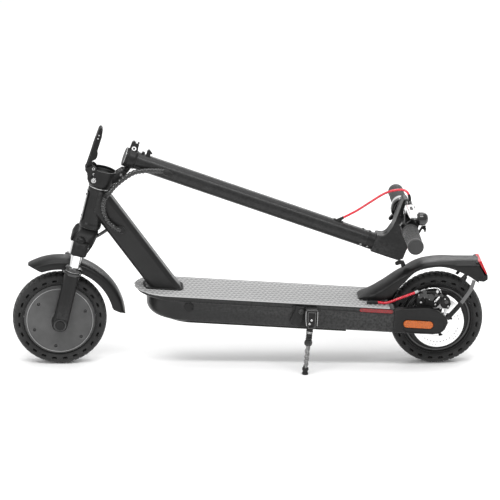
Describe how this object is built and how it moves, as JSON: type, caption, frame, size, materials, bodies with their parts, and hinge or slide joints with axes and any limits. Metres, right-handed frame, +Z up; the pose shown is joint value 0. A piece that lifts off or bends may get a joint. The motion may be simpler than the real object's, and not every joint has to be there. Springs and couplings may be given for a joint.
{
  "type": "electric kick scooter",
  "caption": "Folding electric kick scooter shown folded on its kickstand, with a hub-motor front wheel, sprung fork, cable-operated rear disc brake and battery deck.",
  "frame": {"origin": "on the ground under the middle of the folded scooter's bounding box", "axes": "+X towards the rear wheel, +Y to the rider's right, +Z up"},
  "size_m": [1.0876, 0.43, 0.5606],
  "materials": {
    "frame_paint": "satin powder coat",
    "cast_paint": "matt powder coat on castings",
    "black_plastic": "fine moulded grain",
    "gloss_black": "glossy",
    "deck_rubber": "grey grip mat with raised waves",
    "tyre_rubber": "honeycomb solid tyre",
    "grip_rubber": "ribbed",
    "motor_case": "satin grey",
    "copper_winding": "lacquered wire",
    "battery_wrap": "shrink wrap",
    "bare_steel": "zinc plated",
    "bright_chrome": "polished",
    "signal_red": "glossy red",
    "amber_lens": "prismatic reflector"
  },
  "bodies": {
    "frame": {"deck_shell": "frame_paint", "deck_mat": "deck_rubber", "bottom_cover": "black_plastic", "battery_pack": "battery_wrap", "motor_controller": "motor_case", "down_tube": "frame_paint", "head_tube": "frame_paint", "rear_arm_left": "cast_paint", "rear_arm_right": "cast_paint", "side_reflector_left": "amber_lens", "side_reflector_right": "amber_lens", "rear_fender": "black_plastic", "fender_strut_left": "bare_steel", "fender_strut_right": "bare_steel", "tail_light": "signal_red", "stem_hook": "cast_paint", "kickstand_bracket": "cast_paint", "rear_axle": "bare_steel", "brake_caliper": "cast_paint", "rear_brake_cable": "signal_red", "cable_conduit_lower": "gloss_black", "motor_cable": "gloss_black"},
    "steerer": {"fork_crown": "cast_paint", "fork_stanchion_left": "bright_chrome", "fork_stanchion_right": "bright_chrome", "fold_collar": "cast_paint", "fold_pin": "bare_steel"},
    "fork_lower": {"fork_leg_left": "cast_paint", "fork_leg_right": "cast_paint", "front_fender": "black_plastic", "front_axle": "bare_steel", "motor_stator": "copper_winding"},
    "front_wheel": {"hub_motor_case": "motor_case", "front_tyre": "tyre_rubber"},
    "stem": {"stem_base": "cast_paint", "stem_tube": "frame_paint", "cable_conduit_upper": "gloss_black", "stem_head": "cast_paint", "display_panel": "gloss_black", "handlebar": "frame_paint", "grip_left": "grip_rubber", "grip_right": "grip_rubber", "brake_lever_mount": "cast_paint", "throttle_mount": "black_plastic", "bell": "gloss_black", "brake_cable": "signal_red"},
    "latch": {"latch_lever": "cast_paint"},
    "brake_lever": {"brake_lever": "bare_steel"},
    "thumb_throttle": {"thumb_lever": "black_plastic"},
    "striker": {"bell_striker": "black_plastic"},
    "mode_button": {"mode_button": "signal_red"},
    "kickstand": {"kickstand_leg": "bare_steel", "kickstand_foot": "black_plastic"},
    "rear_wheel": {"rear_rim": "frame_paint", "rear_tyre": "tyre_rubber", "brake_disc": "bare_steel"},
    "caliper_arm": {"caliper_arm": "bare_steel"},
    "charge_cap": {"charge_cap": "black_plastic"}
  },
  "joints": [
    {"name": "steering", "type": "hinge", "parent": "frame", "child": "steerer", "pos_m": [-0.35815, 0, 0.37281], "axis": [0.225, 0, 0.9744], "range_deg": [-45, 45], "deforming": ["cable_conduit_lower", "motor_cable"]},
    {"name": "suspension", "type": "slide", "parent": "steerer", "child": "fork_lower", "axis": [0.225, 0, 0.9744], "range_m": [0, 0.025], "stiffness_N_per_m": 16000, "springref_m": -0.008},
    {"name": "front_wheel_spin", "type": "hinge", "parent": "fork_lower", "child": "front_wheel", "pos_m": [-0.43621, 0, 0.10759], "axis": [0, 1, 0], "continuous": true},
    {"name": "stem_fold", "type": "hinge", "parent": "steerer", "child": "stem", "pos_m": [-0.29916, 0, 0.45053], "axis": [0, -1, 0], "range_deg": [0, 96.4], "deforming": ["cable_conduit_upper"]},
    {"name": "latch_swing", "type": "hinge", "parent": "steerer", "child": "latch", "pos_m": [-0.37482, 0, 0.46286], "axis": [0, -1, 0], "range_deg": [0, 60]},
    {"name": "brake_lever_pull", "type": "hinge", "parent": "stem", "child": "brake_lever", "pos_m": [0.36055, -0.072, 0.373], "axis": [0.9432, 0, -0.3322], "range_deg": [0, 11], "stiffness_Nm_per_rad": 3, "springref_deg": -5.73},
    {"name": "caliper_arm_pull", "type": "hinge", "parent": "frame", "child": "caliper_arm", "pos_m": [0.4088, -0.059, 0.17559], "axis": [0, 1, 0], "range_deg": [0, 15]},
    {"name": "throttle_press", "type": "hinge", "parent": "stem", "child": "thumb_throttle", "pos_m": [0.35025, 0.093, 0.34376], "axis": [0, 1, 0], "range_deg": [0, 30], "stiffness_Nm_per_rad": 0.4, "springref_deg": -8.59},
    {"name": "bell_flick", "type": "hinge", "parent": "stem", "child": "striker", "pos_m": [0.3612, -0.094, 0.31764], "axis": [0.9432, 0, -0.3322], "range_deg": [0, 30], "stiffness_Nm_per_rad": 0.02, "springref_deg": -5.73},
    {"name": "mode_press", "type": "slide", "parent": "stem", "child": "mode_button", "axis": [-0.9432, 0, 0.3322], "range_m": [0, 0.0015], "stiffness_N_per_m": 900, "springref_m": -0.0005},
    {"name": "kickstand_swing", "type": "hinge", "parent": "frame", "child": "kickstand", "pos_m": [0.13225, -0.09, 0.13197], "axis": [0, -1, 0], "range_deg": [0, 85]},
    {"name": "rear_wheel_spin", "type": "hinge", "parent": "frame", "child": "rear_wheel", "pos_m": [0.42879, 0, 0.10759], "axis": [0, 1, 0], "continuous": true},
    {"name": "charge_cap_swing", "type": "hinge", "parent": "frame", "child": "charge_cap", "pos_m": [-0.14419, -0.0734, 0.16643], "axis": [-0.9982, 0, 0.0593], "range_deg": [0, 90]}
  ],
  "couplings": [
    {"joint": "caliper_arm_pull", "follows": "brake_lever_pull", "ratio": 1.3}
  ]
}
